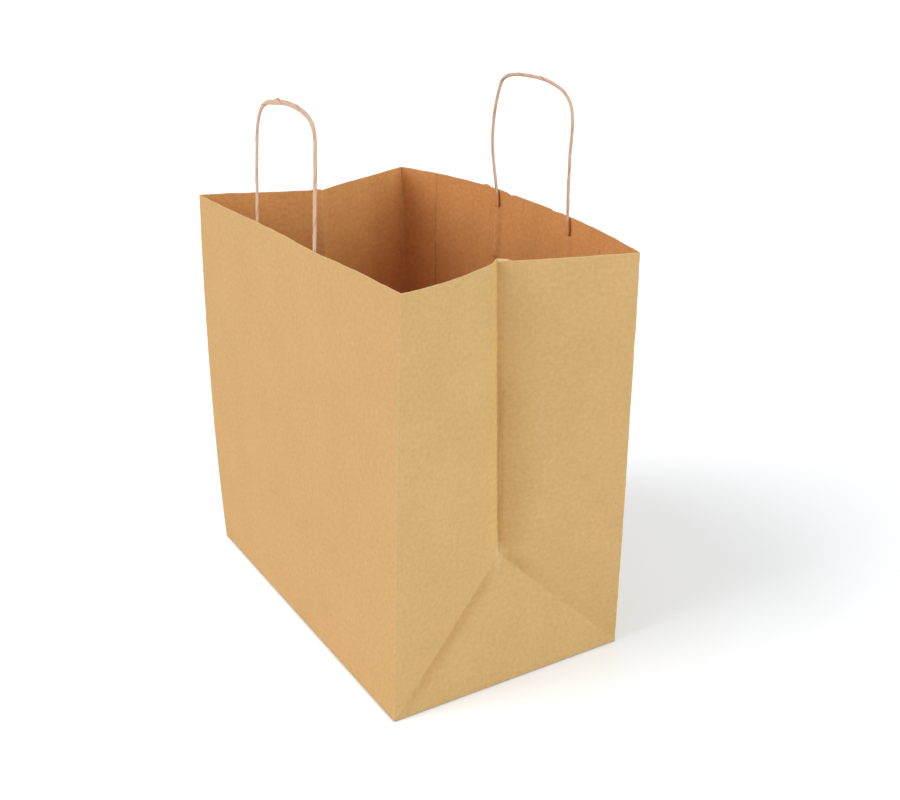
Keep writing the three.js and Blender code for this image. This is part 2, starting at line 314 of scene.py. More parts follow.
def fold_tree(sizes):
    tree, size = start_tree("Fold the bag from its sheet", sizes)
    half_width = size["Width"] * 0.5
    half_depth = size["Depth"] * 0.5
    flat = add_node(
        tree,
        "GeometryNodeMeshGrid",
        {
            "Size X": size["Blank Length"],
            "Size Y": size["Height"],
            "Vertices X": size["Points Along"],
            "Vertices Y": size["Points Up"],
        },
    )
    flat_x, flat_y, _ = parts_of(add_node(tree, "GeometryNodeInputPosition"))
    sheet_x = flat_x + size["Blank Length"] * 0.5
    sheet_y = flat_y + size["Height"] * 0.5
    sheet = store(tree, flat, "blank", join_parts(tree, sheet_x, sheet_y, 0.0))
    along, up, _ = parts_of(attribute(tree, "blank"))
    rise = up / size["Height"]

    # The creases' places along the sheet, from the free end of the strip inside the seam
    back_left = size["Seam Strip"]
    left_pleat = back_left + half_depth
    front_left = left_pleat + half_depth
    front_right = front_left + size["Width"]
    right_pleat = front_right + half_depth
    back_right = right_pleat + half_depth

    base = {}
    rim = {}
    edge = {}
    corners = {
        "Front Left": (-1, -1),
        "Front Right": (1, -1),
        "Back Right": (1, 1),
        "Back Left": (-1, 1),
    }
    upward = join_parts(tree, 0.0, 0.0, size["Height"])
    for corner, (x, y) in corners.items():
        shift = size[corner + " Shift"]
        base[corner] = join_parts(tree, half_width * x, half_depth * y, 0.0)
        rim[corner] = base[corner] + shift + upward
        bowed = base[corner] + shift * rise + size[corner + " Bow"] * swell(rise)
        edge[corner] = bowed + join_parts(tree, 0.0, 0.0, up)

    front = mix(edge["Front Left"], edge["Front Right"], (along - front_left) / size["Width"])
    on_strip = below(along, back_left)
    from_left = pick(on_strip, back_left - along, size["Width"] - (along - back_right))
    share = from_left / size["Width"]
    peak = size["Back Bow Peak"]
    reach = pick(below(share, peak), peak, 1.0 - peak)
    away = (share - peak) / reach
    bow = size["Back Bow"] * rise * (1.0 - away * away)
    back = mix(edge["Back Left"], edge["Back Right"], share) + join_parts(tree, 0.0, bow, 0.0)

    def pleated(side, sign, pleat, is_back):
        """A narrow side: a leaning triangle at the bottom, and above it two halves with a pleat."""
        from_pleat = calc("ABSOLUTE", along - pleat)
        across = 1.0 - from_pleat / half_depth
        corner = pick(is_back, base["Back " + side], base["Front " + side])
        upright = pick(is_back, edge["Back " + side], edge["Front " + side])
        curl = pick(is_back, size[side + " Curl Back"], size[side + " Curl Front"])
        lean = size["Triangle Lean"]
        foot_height = calc("SQRT", half_depth * half_depth - lean * lean)
        foot = join_parts(tree, (half_width - lean) * sign, 0.0, foot_height)
        half_gap = calc("DISTANCE", rim["Front " + side], rim["Back " + side]) * 0.5
        slack = calc("SQRT", half_depth * half_depth - half_gap * half_gap)
        middle = mix(rim["Front " + side], rim["Back " + side], 0.5)
        top = middle + join_parts(tree, slack * -sign, 0.0, size["Pleat Dip"] * -1.0)
        climbed = calc("MAXIMUM", calc("MINIMUM", up / half_depth, 1.0), 1e-6)
        above_foot = calc("MAXIMUM", (up - half_depth) / (size["Height"] - half_depth), 0.0)
        crease = mix(corner, foot, climbed) + (top - foot) * above_foot
        reached = across / climbed
        pinch = calc("MAXIMUM", 1.0 - from_pleat / size["Pinch Width"], 0.0)
        started = calc("MINIMUM", above_foot / size["Pinch Start"], 1.0)
        pinch = pinch * pinch * size["Pleat Pinch"] * started
        push = (curl * swell(reached) * rise * rise - pinch) * sign
        half = mix(upright, crease, reached) + join_parts(tree, push, 0.0, 0.0)
        tilt = join_parts(tree, lean * -sign, 0.0, foot_height)
        triangle = corner * join_parts(tree, 1.0, 1.0 - across, 1.0) + tilt * climbed
        return pick(calc("GREATER_THAN", reached, 1.0), triangle, half)

    left = pleated("Left", -1.0, left_pleat, below(along, left_pleat))
    right = pleated("Right", 1.0, right_pleat, calc("GREATER_THAN", along, right_pleat))
    folded = pick(
        below(along, front_left),
        pick(on_strip, back, left),
        pick(below(along, front_right), front, pick(below(along, back_right), right, back)),
    )

    # How far each point lies from the nearest crease, from the point where creases meet, and from
    # the pleat, on its back side
    from_folds = up
    for crease in (back_left, front_left, front_right, back_right):
        from_folds = calc("MINIMUM", from_folds, calc("ABSOLUTE", along - crease))
    from_foot = None
    for pleat in (left_pleat, right_pleat):
        aside = calc("ABSOLUTE", along - pleat)
        slanted = calc("ABSOLUTE", aside + up - half_depth) * math.sqrt(0.5)
        from_folds = calc("MINIMUM", from_folds, pick(below(up, half_depth), slanted, aside))
        foot_gap = calc("LENGTH", join_parts(tree, aside, up - half_depth, 0.0))
        from_foot = foot_gap if from_foot is None else calc("MINIMUM", from_foot, foot_gap)
    in_front = below(along, front_left + size["Width"] * 0.5)
    beside = pick(in_front, left_pleat - along, along - right_pleat)
    sheet = store(tree, sheet, "fold", join_parts(tree, from_folds, from_foot, beside))

    moved = tree.nodes.new("GeometryNodeSetPosition")
    feed(tree, moved.inputs["Geometry"], sheet)
    feed(tree, moved.inputs["Position"], folded)

    # Real paper: slow waves that grow towards the rim, dimples, and crumples where creases meet
    here = add_node(tree, "GeometryNodeInputPosition")
    seeded = here + size["Seed"]
    normal = add_node(tree, "GeometryNodeInputNormal")
    held = calc("MINIMUM", up / size["Flat Foot Height"], 1.0)
    waves = uneven(tree, seeded * wave_stretch, size["Waves To The Metre"])
    waves = waves * size["Waves"] * rise * held
    dimples = uneven(tree, seeded, size["Dimples To The Metre"], 2.0) * size["Dimples"] * held
    near_foot = calc("MAXIMUM", 1.0 - from_foot / size["Crumple Reach"], 0.0)
    crumple = uneven(tree, seeded, size["Crumples To The Metre"], 2.0) * size["Crumple"]
    crumple = crumple * near_foot * near_foot
    lapped = calc("MINIMUM", calc("MAXIMUM", (back_left - along) / size["Seam Lap"], 0.0), 1.0)
    outward = waves + dimples + crumple - lapped * size["Seam Step"]
    for middle, half_sway, push_out in rim_sways:
        reached = calc("MAXIMUM", 1.0 - calc("ABSOLUTE", along - middle) / half_sway, 0.0)
        eased = reached * reached * (3.0 - reached * 2.0)
        outward = outward + eased * rise * rise * rise * push_out
    at_rim = calc("GREATER_THAN", rise, size["Rim From"])
    ragged = uneven(tree, seeded, size["Nicks To The Metre"], 3.0) * size["Ragged Rim"]
    for mark, half_mark, mark_rise in rim_marks:
        from_mark = calc("ABSOLUTE", along - mark) / half_mark
        flat_top = calc("MAXIMUM", 1.0 - from_mark, 0.0) * mark_steepness
        ragged = ragged + calc("MINIMUM", flat_top, 1.0) * mark_rise
    ragged = ragged * at_rim
    uneven_sheet = tree.nodes.new("GeometryNodeSetPosition")
    feed(tree, uneven_sheet.inputs["Geometry"], moved.outputs[0])
    feed(tree, uneven_sheet.inputs["Offset"], normal * outward + join_parts(tree, 0.0, 0.0, ragged))

    # The diagonals of the sheet's cells run along the slanted creases
    split = add_node(
        tree,
        "GeometryNodeTriangulate",
        {"Mesh": uneven_sheet.outputs[0]},
        quad_method="LONGEST_DIAGONAL",
    )
    end_tree(tree, split, size["Paper"])
    return tree


def paint(tree, name):
    """A value kept on the mesh's points, as a material reads it."""
    return add_node(tree, "ShaderNodeAttribute", output="Vector", attribute_name=name)


def ramp(value, low, high):
    """0 up to the low value, 1 from the high one, and smooth between them."""
    node = value.tree.nodes.new("ShaderNodeMapRange")
    node.interpolation_type = "SMOOTHSTEP"
    feed(value.tree, node.inputs["Value"], value)
    node.inputs["From Min"].default_value = low
    node.inputs["From Max"].default_value = high
    return Field(value.tree, node.outputs["Result"])


def fade(value, low, high):
    """1 up to the low value, 0 from the high one, and smooth between them."""
    return 1.0 - ramp(value, low, high)


def shaded(colour, shade, share):
    """A colour with a share of a shade laid over it."""
    return mix(colour, calc("MULTIPLY", colour, shade), share)


def start_material(name):
    material = bpy.data.materials.new(name)
    material.use_nodes = True
    material.node_tree.nodes.clear()
    return material, material.node_tree


def end_material(tree, colour, roughness, relief, relief_depth, gloss):
    shader = tree.nodes.new("ShaderNodeBsdfPrincipled")
    shader.inputs["Specular IOR Level"].default_value = gloss
    bump = tree.nodes.new("ShaderNodeBump")
    bump.inputs["Distance"].default_value = relief_depth
    feed(tree, bump.inputs["Height"], relief)
    feed(tree, shader.inputs["Base Color"], colour)
    feed(tree, shader.inputs["Roughness"], roughness)
    tree.links.new(bump.outputs["Normal"], shader.inputs["Normal"])
    output = tree.nodes.new("ShaderNodeOutputMaterial")
    tree.links.new(shader.outputs[0], output.inputs["Surface"])
    return shader


kraft_tone = (0.70, 0.43, 0.18)
# Inner faces: a darker, redder copy of the kraft tone, as painted shade and warm bounced light
kraft_tone_inside_shaded = (0.735, 0.337, 0.115)
# Pale colour for creases and cut edges: partly wear, partly a painted highlight
pale_wear_and_highlight = (0.83, 0.62, 0.37)
fibre_leans = (0.45, -0.6, 1.3)
rib_spacing = 0.0016
# Painted shade behind the pleats and beside the slanted creases
pleat_shade = (0.90, 0.83, 0.73)
pleat_core_shade = (0.89, 0.79, 0.67)
slant_shade = (0.90, 0.84, 0.77)
# Painted highlight on the strip just before each pleat
painted_pleat_highlight = (1.02, 1.03, 0.97)
# Painted shadow line along the seam's free edge inside the bag
seam_line_shade = (0.66, 0.54, 0.46)
front_crease = seam_strip + depth
# The pleat's foot, where the slanted creases meet, is so high on the flat sheet
foot_up = depth / 2


def shade_beside_folds(tree, colour, place, from_foot, beside, slant):
    """Painted shade beside a pleat and the slanted creases, where the bent paper turns from the
    light, and a painted highlight on the strip before the pleat. Beside is above 0 behind the
    pleat, and slant is above 0 outside the triangle."""
    along, up, _ = parts_of(place)
    above = ramp(up, foot_up - 0.001, foot_up + 0.012)
    streaks = uneven(tree, join_parts(tree, along * 900.0, up * 22.0, 1.0), 1.0, 2.0)
    behind = ramp(beside, -0.0004, 0.0006) * above * (1.0 - ramp(up, 0.20, 0.29) * 0.6)
    wide = behind * fade(beside, 0.008, 0.034) * 0.85
    narrow = behind * fade(beside, 0.0014, 0.0070) * ramp(streaks, -1.5, 0.4)
    before = ramp(beside, -0.012, -0.004) * fade(beside, -0.0012, 0.0) * above
    in_triangle = ramp(slant, -0.012, -0.003) * fade(slant, -0.0014, 0.0006)
    in_triangle = in_triangle * fade(beside, -0.012, -0.004) * below(up, foot_up)
    in_triangle = in_triangle * ramp(from_foot, 0.006, 0.025)
    in_triangle = in_triangle * (1.0 - ramp(from_foot, 0.095, 0.140) * 0.6)
    over_triangle = ramp(slant, -0.0002, 0.0020) * fade(slant, 0.004, 0.016)
    over_triangle = over_triangle * ramp(beside, 0.002, 0.008)
    over_triangle = over_triangle * (1.0 - ramp(from_foot, 0.015, 0.055) * 0.85)
    # Painted shade behind the pleat and by the slanted creases, painted highlight before it
    for shade, share in (
        (pleat_shade, wide),
        (slant_shade, calc("MAXIMUM", in_triangle, over_triangle)),
        (pleat_core_shade, narrow),
        (painted_pleat_highlight, before),
    ):
        colour = shaded(colour, shade, share)
    return colour


def kraft_paper(name, tone, outside):
    """Brown kraft: cloudy, stained pulp with short fibres, specks and faint ribs. Its creases and
    cut edges are pale from wear and from a painted highlight, and on the outside painted shade
    darkens it beside the folds."""
    material, tree = start_material(name)
    place = paint(tree, "blank")
    along, up, _ = parts_of(place)
    broad = uneven(tree, place, 5.0, 2.0)
    clouds = uneven(tree, place, 26.0, 3.0)
    pulp = uneven(tree, place, 300.0, 4.0)
    fine = uneven(tree, place, 1300.0, 2.0)
    tint = uneven(tree, place + 3.0, 120.0, 3.0)
    fibres = None
    for lean in fibre_leans:
        run = along * math.sin(lean) + up * math.cos(lean)
        side = along * math.cos(lean) - up * math.sin(lean)
        strands = uneven(tree, join_parts(tree, run * 260.0, side * 2200.0, lean), 1.0)
        fibres = strands if fibres is None else calc("MAXIMUM", fibres, strands)
    light = ramp(fibres, 0.7, 1.2)
    specks = ramp(uneven(tree, place, 700.0, 0.0), 0.9, 1.25)
    ribs = calc("SINE", along * (2.0 * math.pi / rib_spacing))
    stains = uneven(tree, join_parts(tree, along * 38.0, up * 10.0, 2.0), 1.0, 4.0)
    shade = broad * 0.018 + clouds * 0.030 + pulp * 0.085 + fine * 0.06 + ribs * 0.007
    shade = shade + light * 0.07 - specks * 0.10
    shade = (shade + stains * 0.012) if outside else (shade * 1.3 + stains * 0.075)
    red = 1.0 + shade * 0.75 + tint * 0.010
    stained = join_parts(tree, red, 1.0 + shade, 1.0 + shade * 1.5 - tint * 0.02)
    colour = calc("MULTIPLY", tone, stained)

    from_fold, from_foot, beside = parts_of(paint(tree, "fold"))
    # The cut rim is pale: partly wear, partly a painted highlight
    cut_edge = ramp(up, height - 0.0009, height - 0.0004) * (0.35 if outside else 0.5)
    if outside:
        slant = (calc("ABSOLUTE", beside) + up - foot_up) * math.sqrt(0.5)
        # Painted shade beside the folds, and a painted highlight before each pleat
        colour = shade_beside_folds(tree, colour, place, from_foot, beside, slant)
        # Painted highlight on the cut edge that stands open where the right pleat meets the rim
        open_edge = ramp(beside, 0.0, 0.001) * fade(beside, 0.0065, 0.0080)
        open_edge = open_edge * ramp(along, front_crease, front_crease + width)
        above_open = up - beside * 0.15 - height
        cut_edge = calc("MAXIMUM", cut_edge, open_edge * ramp(above_open, -0.0022, -0.0014) * 0.8)
        # A slanted crease is pale, from wear and a painted highlight, only at the back and
        # away from the point where creases meet
        on_slant = fade(calc("ABSOLUTE", slant), 0.0012, 0.0020)
        plain = calc("MAXIMUM", below(beside, 0.0), fade(from_foot, 0.045, 0.075))
        from_fold = from_fold + on_slant * plain * below(up, foot_up)
    else:
        # A thin painted shadow line along the sheet's free end inside the seam
        breaks = ramp(uneven(tree, join_parts(tree, up * 40.0, 1.0, 1.0), 1.0, 3.0), -1.0, 0.5)
        seam_line = fade(along, 0.0007, 0.0012) * breaks
        seam_line = seam_line * (1.0 - ramp(up, 0.265, 0.285) * 0.75)
        colour = shaded(colour, seam_line_shade, seam_line)
    # Creases and crumples are pale: partly wear, partly a painted highlight
    crease_patches = ramp(uneven(tree, place, 400.0, 3.0), -0.9, 0.7)
    crease_reach, crease_strength = (0.0010, 0.22) if outside else (0.0024, 0.16)
    creased = fade(from_fold, crease_reach / 5, crease_reach) * crease_patches * crease_strength
    crumples = ramp(uneven(tree, place, 260.0, 3.0), 0.0, 0.6)
    crumpled = fade(from_foot, 0.002, 0.012) * crumples * 0.45
    worn_and_highlight = calc("MAXIMUM", calc("MAXIMUM", creased, crumpled), cut_edge)
    end_material(
        tree,
        colour=mix(colour, pale_wear_and_highlight, worn_and_highlight),
        roughness=0.84 + pulp * 0.04,
        relief=pulp * 0.35 + light * 0.35 + ribs * 0.12 + fine * 0.15,
        relief_depth=0.00007,
        gloss=0.25,
    )
    return material


kraft = kraft_paper("kraft_paper", kraft_tone, outside=True)
# The inner faces get the darker, redder copy: painted shade inside the bag
kraft_inside_shaded = kraft_paper("kraft_paper_inside_shaded", kraft_tone_inside_shaded, outside=False)
bag_sizes["Paper"] = kraft
bag = make_piece("paper_bag", fold_tree(bag_sizes), bag_sizes)
folded_sheet = bag.data.copy()

# The folded sheet's points in their order along and up the flat sheet
flat_places = np.empty(len(folded_sheet.vertices) * 3)
folded_sheet.attributes["blank"].data.foreach_get("vector", flat_places)
flat_places = flat_places.reshape(-1, 3).round(5)
sheet_points = np.empty(len(folded_sheet.vertices) * 3)
folded_sheet.vertices.foreach_get("co", sheet_points)
in_order = np.lexsort((flat_places[:, 1], flat_places[:, 0]))
sheet_grid = sheet_points.reshape(-1, 3)[in_order]
sheet_grid = sheet_grid.reshape(bag_sizes["Points Along"], bag_sizes["Points Up"], 3)

# The block bottom, from the ground up: the front flap and the back flap that laps it, then the
# paper turned under at the four corners, and the side flaps inside. Their ends are cut slanted.
flap_lap = 0.010
flap_groove = 0.0005
end_x = width / 2 - 0.8 * paper
edge_y = depth / 2 - 0.8 * paper
flap_x = end_x - edge_y - flap_lap
back_edge = flap_lap + flap_groove
back_x = end_x - edge_y + back_edge
far_from_folds = (0.05, 0.1, 0.05)


def below_panel(point):
    """Where a point of the front and back flaps lies on the flat sheet."""
    return point.x + front_crease + width / 2, -depth / 2 - point.y, 0.0


def below_side(point):
    """Where a point of the corners' and side flaps' paper lies on the flat sheet."""
    return point.y + seam_strip + depth / 2, abs(point.x) - width / 2, 0.0


def flap(outline, level, flat_place):
    """One flat layer of the bottom, a number of sheets above the ground, facing down."""
    points = [Vector((x, y, level * paper)) for x, y in outline]
    if (points[1] - points[0]).cross(points[2] - points[0]).z > 0:
        points.reverse()
    mesh = bpy.data.meshes.new("flap")
    mesh.from_pydata(points, [], [range(len(points))])
    for name, values in (
        ("blank", [flat_place(point) for point in points]),
        ("fold", [far_from_folds] * len(points)),
    ):
        layer = mesh.attributes.new(name, "FLOAT_VECTOR", "POINT")
        layer.data.foreach_set("vector", np.ravel(values))
    mesh.materials.append(kraft)
    piece = bpy.data.objects.new("flap", mesh)
    bpy.context.scene.collection.objects.link(piece)
    return piece


front_flap = [(-end_x, -edge_y), (end_x, -edge_y), (flap_x, flap_lap), (-flap_x, flap_lap)]
back_flap = [(end_x, edge_y), (-end_x, edge_y), (-back_x, back_edge), (back_x, back_edge)]
lap_top = back_edge + flap_groove
over_lap = [(-flap_x, -flap_lap), (flap_x, -flap_lap), (flap_x, lap_top), (-flap_x, lap_top)]
flaps = [
    flap(front_flap, 0, below_panel),
    flap(back_flap, 0, below_panel),
    flap(over_lap, 1, below_panel),
]
for side in (-1, 1):
    outer = side * end_x
    inner = side * flap_x
    for end in (-1, 1):
        tuck = [(outer, end * edge_y), (inner, end * edge_y), (inner, -end * flap_lap)]
        flaps.append(flap(tuck, 1, below_side))
    side_flap = [(inner, -edge_y), (outer, -edge_y), (outer, edge_y), (inner, edge_y)]
    flaps.append(flap(side_flap, 2, below_side))
with bpy.context.temp_override(active_object=bag, selected_editable_objects=[bag, *flaps]):
    bpy.ops.object.join()

thicken(bag, paper, sharp_above=12.0, inside=kraft_inside_shaded)
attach(bag, "root")
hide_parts("bag_body")


# The strips that hold the handles: two strips of the same kraft inside each wide panel, below the
# rim. The first is pasted to the wall. The second is pasted over it and over the cord's two ends,
# and stands up in a ridge over each end.
leg_spacings = {"front": 0.098, "back": 0.102}
leg_depth = 0.040
strip_drop = 0.014
strip_paper = 0.00012
paste_gap = 0.00002
front_middle = -0.007
back_middle = 0.008

strip_sizes = {
    "Middle": 0.0,
    "Top": height - strip_drop,
    "Strip Width": 0.190,
    "Strip Height": 0.045,
    "Points Along": 191,
    "Points Up": 46,
    "Stand Off": 0.0,
    "Leg Spacing": 0.0,
    "Ridge Height": 0.0,
    "Ridge Half Width": 0.0075,
    "Ridge End": 0.004,
    # A ridge's crest gets a painted highlight, widened by this share
    "Crest Highlight": 0.6,
    "Cockle": 0.00003,
    "Cockles To The Metre": 90.0,
}


def strip_tree(sizes):
    tree, size = start_tree("Paste a strip inside the wall", sizes)
    flat = add_node(
        tree,
        "GeometryNodeMeshGrid",
        {
            "Size X": size["Strip Width"],
            "Size Y": size["Strip Height"],
            "Vertices X": size["Points Along"],
            "Vertices Y": size["Points Up"],
        },
    )
    across, rise, _ = parts_of(add_node(tree, "GeometryNodeInputPosition"))
    level = size["Top"] - size["Strip Height"] * 0.5 + rise
    strip = store(tree, flat, "blank", join_parts(tree, size["Middle"] + across, level, 0.0))
    place = attribute(tree, "blank")
    along, up, _ = parts_of(place)

    def on_wall(value):
        """What a value is on the bag's wall, at this point's place on the flat sheet."""
        return add_node(
            tree,
            "GeometryNodeSampleUVSurface",
            {"Mesh": size["Geometry"], "Value": value, "UV Map": place, "Sample UV": place},
            data_type="FLOAT_VECTOR",
        )

    wall = on_wall(add_node(tree, "GeometryNodeInputPosition"))
    outward = on_wall(add_node(tree, "GeometryNodeInputNormal"))
    from_middle = calc("ABSOLUTE", along - size["Middle"])
    from_leg = calc("ABSOLUTE", from_middle - size["Leg Spacing"] * 0.5)
    fallen = calc("MINIMUM", from_leg / size["Ridge Half Width"], 1.0)
    arch = calc("COSINE", fallen * math.pi) * 0.5 + 0.5
    # The crest of a ridge gets a painted highlight, pale like a crease, and wider
    ridged = calc("GREATER_THAN", size["Ridge Height"], 0.0)
    from_fold = pick(ridged, from_leg * size["Crest Highlight"], far_from_folds[0])
    strip = store(tree, strip, "fold", join_parts(tree, from_fold, *far_from_folds[1:]))
    above_end = (up - size["Top"] + size["Strip Height"]) / size["Ridge End"]
    ridge = size["Ridge Height"] * arch * calc("MINIMUM", above_end, 1.0)
    cockle = uneven(tree, place, size["Cockles To The Metre"]) * size["Cockle"]
    pasted = tree.nodes.new("GeometryNodeSetPosition")
    feed(tree, pasted.inputs["Geometry"], strip)
    feed(tree, pasted.inputs["Position"], wall - outward * (size["Stand Off"] + ridge + cockle))
    facing_in = add_node(tree, "GeometryNodeFlipFaces", {"Mesh": pasted.outputs[0]})
    end_tree(tree, facing_in, size["Paper"])
    return tree


# The strips take the inner faces' darker, redder tone, painted shade inside the bag
strip_sizes["Paper"] = kraft_paper("handle_strip_paper", kraft_tone_inside_shaded, outside=False)
strip_nodes = strip_tree(strip_sizes)
back_crease = front_crease + width + depth
first_face = paper + paste_gap + strip_paper
second_face = first_face + paste_gap + strip_paper
cord_depth = 0.00185
ridge_rooms = {"front": 0.0017, "back": 0.0014}
panel_middles = {
    "front": front_crease + width / 2 + front_middle,
    "back": back_crease + width / 2 - back_middle,
}
for panel, middle in panel_middles.items():
    over_cord = cord_depth + ridge_rooms[panel] + strip_paper
    for layer, face, ridge in (
        ("outer", first_face, 0.0),
        ("inner", second_face, over_cord - second_face),
    ):
        node = f"{panel}_patch_{layer}"
        sizes = {
            **strip_sizes,
            "Middle": middle,
            "Leg Spacing": leg_spacings[panel],
            "Stand Off": face,
            "Ridge Height": ridge,
        }
        strip = make_piece(node + "_paper", strip_nodes, sizes, folded_sheet.copy())
        thicken(strip, strip_paper, sharp_above=30.0)
        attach(strip, "root")
        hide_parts(node)


# The handles. Each is a strip of pale kraft twisted into a hard cord and bent into an upside-down
# U, and it stands by its own stiffness. Its two ends go down between the strips.
leg_rise = 0.004
in_bag = leg_depth + strip_drop
front_lean = 0.03
# The line of each cord above the rim, in millimetres: across from the handle's middle, and up
arches = {
    "front": (
        (-48.5, 0), (-47.5, 22), (-46.5, 41), (-45, 60), (-42, 75.5), (-36, 85.5), (-26, 91),
        (-11, 93.3), (4, 94.6), (19, 94.6), (35, 92.6), (46.5, 88), (51.8, 79.5), (52.3, 66),
        (51.5, 44), (50.5, 22), (49.8, 0),
    ),
    "back": (
        (-54.5, 2), (-59.5, 24), (-61.3, 44), (-59, 62), (-54.3, 79), (-48.8, 89), (-40.5, 94.2),
        (-31, 96.4), (-15, 97.5), (4.5, 97.5), (21.5, 95.7), (35, 92.2), (43.8, 87), (48.3, 80),
        (49.5, 64), (48, 46), (47.8, 24), (48.3, 2),
    ),
}


def sheet_point(along, up):
    """The folded sheet's outer face at a place on the flat sheet."""
    column, across_cell = divmod(along / grid_step, 1.0)
    row = min(int(up / grid_step), sheet_grid.shape[1] - 2)
    up_cell = up / grid_step - row
    left, right = sheet_grid[int(column) : int(column) + 2, row : row + 2]
    low, high = left + (right - left) * across_cell
    return Vector(low + (high - low) * up_cell)


def inside_panel(along, up, distance):
    """A point inside a wide panel, so far from its outer face, and straight up above the rim."""
    level = min(up, height - grid_step)
    across = sheet_point(along + grid_step, level) - sheet_point(along - grid_step, level)
    rising = sheet_point(along, level + grid_step) - sheet_point(along, level - grid_step)
    inward = rising.cross(across).normalized()
    above = max(up - height, 0.0)
    return sheet_point(along, min(up, height)) + inward * distance + Vector((0.0, 0.0, above))


def smooth_line(points, spacing):
    """Even points on a centripetal Catmull-Rom curve through the given points. Each level blends
    the points of the one before, over so many knots."""
    line = []
    padded = [points[0] * 2 - points[1], *points, points[-1] * 2 - points[-2]]
    for four in zip(padded, padded[1:], padded[2:], padded[3:]):
        knots = [0.0]
        for start, end in zip(four, four[1:]):
            knots.append(knots[-1] + math.sqrt((end - start).length))
        steps = max(round((four[2] - four[1]).length / spacing), 1)
        for step in range(steps):
            knot = knots[1] + (knots[2] - knots[1]) * step / steps
            level = list(four)
            for first, reach in ((0, 1), (0, 2), (1, 1)):
                level = [
                    a.lerp(b, (knot - knots[first + k]) / (knots[first + k + reach] - knots[first + k]))
                    for k, (a, b) in enumerate(zip(level, level[1:]))
                ]
            line.append(level[0])
    return [*line, points[-1]]


cord_sizes = {
    "Ring Spacing": 0.0008,
    "Sides": 28,
    "Wide Radius": 0.0018,
    "Narrow Radius": 0.0011,
    "First Turn": 0.0,
    "Last Turn": 0.5,
    "Lap Step": 0.00022,
    "Lap Length": 0.031,
    "Thickness Unevenness": 0.04,
    "Pressed Length": leg_depth,
    "Pressed Thickness": 0.85,
    "Loose Edge At": 0.170,
    "Loose Edge Length": 0.006,
    "Loose Edge Rise": 0.0016,
    "Seed": 3.0,
}


# Whole turns that keep the winding's angle above 0
turns_ahead = 100.0


def cord_tree(sizes):
    tree, size = start_tree("Twist a paper cord along its line", sizes)
    line = add_node(tree, "GeometryNodeMeshToCurve", {"Mesh": size["Geometry"]})
    even = add_node(
        tree,
        "GeometryNodeResampleCurve",
        {"Curve": line, "Length": size["Ring Spacing"]},
        mode="LENGTH",
    )
    share = add_node(tree, "GeometryNodeSplineParameter", output="Factor")
    length = add_node(tree, "GeometryNodeSplineParameter", output="Length")
    whole = length / calc("MAXIMUM", share, 1e-4)
    from_end = calc("MINIMUM", length, whole - length)
    marked = store(tree, even, "run", length, "FLOAT")
    marked = store(tree, marked, "from_end", from_end, "FLOAT")
    tilt = mix(size["First Turn"], size["Last Turn"], share)
    twisted = add_node(tree, "GeometryNodeSetCurveTilt", {"Curve": marked, "Tilt": tilt})

    ring = add_node(
        tree,
        "GeometryNodeCurvePrimitiveCircle",
        {"Resolution": size["Sides"], "Radius": 1.0},
    )
    turn = add_node(tree, "GeometryNodeInputPosition")
    section = tree.nodes.new("GeometryNodeSetPosition")
    feed(tree, section.inputs["Geometry"], store(tree, ring, "turn", turn))
    oval = turn * join_parts(tree, size["Wide Radius"], size["Narrow Radius"], 0.0)
    feed(tree, section.inputs["Position"], oval)

    run = attribute(tree, "run", "FLOAT")
    past_press = from_end / size["Pressed Length"] - 1.0
    swollen = calc("MINIMUM", calc("MAXIMUM", past_press * 4.0, 0.0), 1.0)
    swells = uneven(tree, join_parts(tree, run, size["Seed"], 5.0), 60.0)
    thick = 1.0 + swells * size["Thickness Unevenness"]
    cord = add_node(
        tree,
        "GeometryNodeCurveToMesh",
        {
            "Curve": twisted,
            "Profile Curve": section.outputs[0],
            "Scale": thick * mix(size["Pressed Thickness"], 1.0, swollen),
            "Fill Caps": True,
        },
    )

    # The wound edge of the strip, as a step that goes round the cord, and its one loose corner
    turn_x, turn_y, _ = parts_of(attribute(tree, "turn"))
    angle = calc("ARCTAN2", turn_y, turn_x) / (2.0 * math.pi)
    wound = calc("FRACT", angle - run / size["Lap Length"] + turns_ahead)
    from_loose = calc("ABSOLUTE", run - size["Loose Edge At"]) / size["Loose Edge Length"]
    outward = add_node(tree, "GeometryNodeInputNormal")
    on_top = calc("MAXIMUM", parts_of(outward)[2] - 0.5, 0.0) * 2.0
    lifted = calc("MAXIMUM", 1.0 - from_loose, 0.0) * on_top * size["Loose Edge Rise"]
    wrapped = tree.nodes.new("GeometryNodeSetPosition")
    feed(tree, wrapped.inputs["Geometry"], cord)
    feed(tree, wrapped.inputs["Offset"], outward * ((wound - 0.5) * size["Lap Step"] + lifted))
    end_tree(tree, wrapped.outputs[0], size["Paper"])
    return tree


cord_tone = (0.74, 0.495, 0.35)
# Painted shade along the wound edge's step
lap_shade_tone = (0.44, 0.19, 0.08)
# Painted shade and warm bounced light on the cord inside the bag
inside_bag_shade = (0.90, 0.68, 0.45)
inside_shade_fade = 0.006


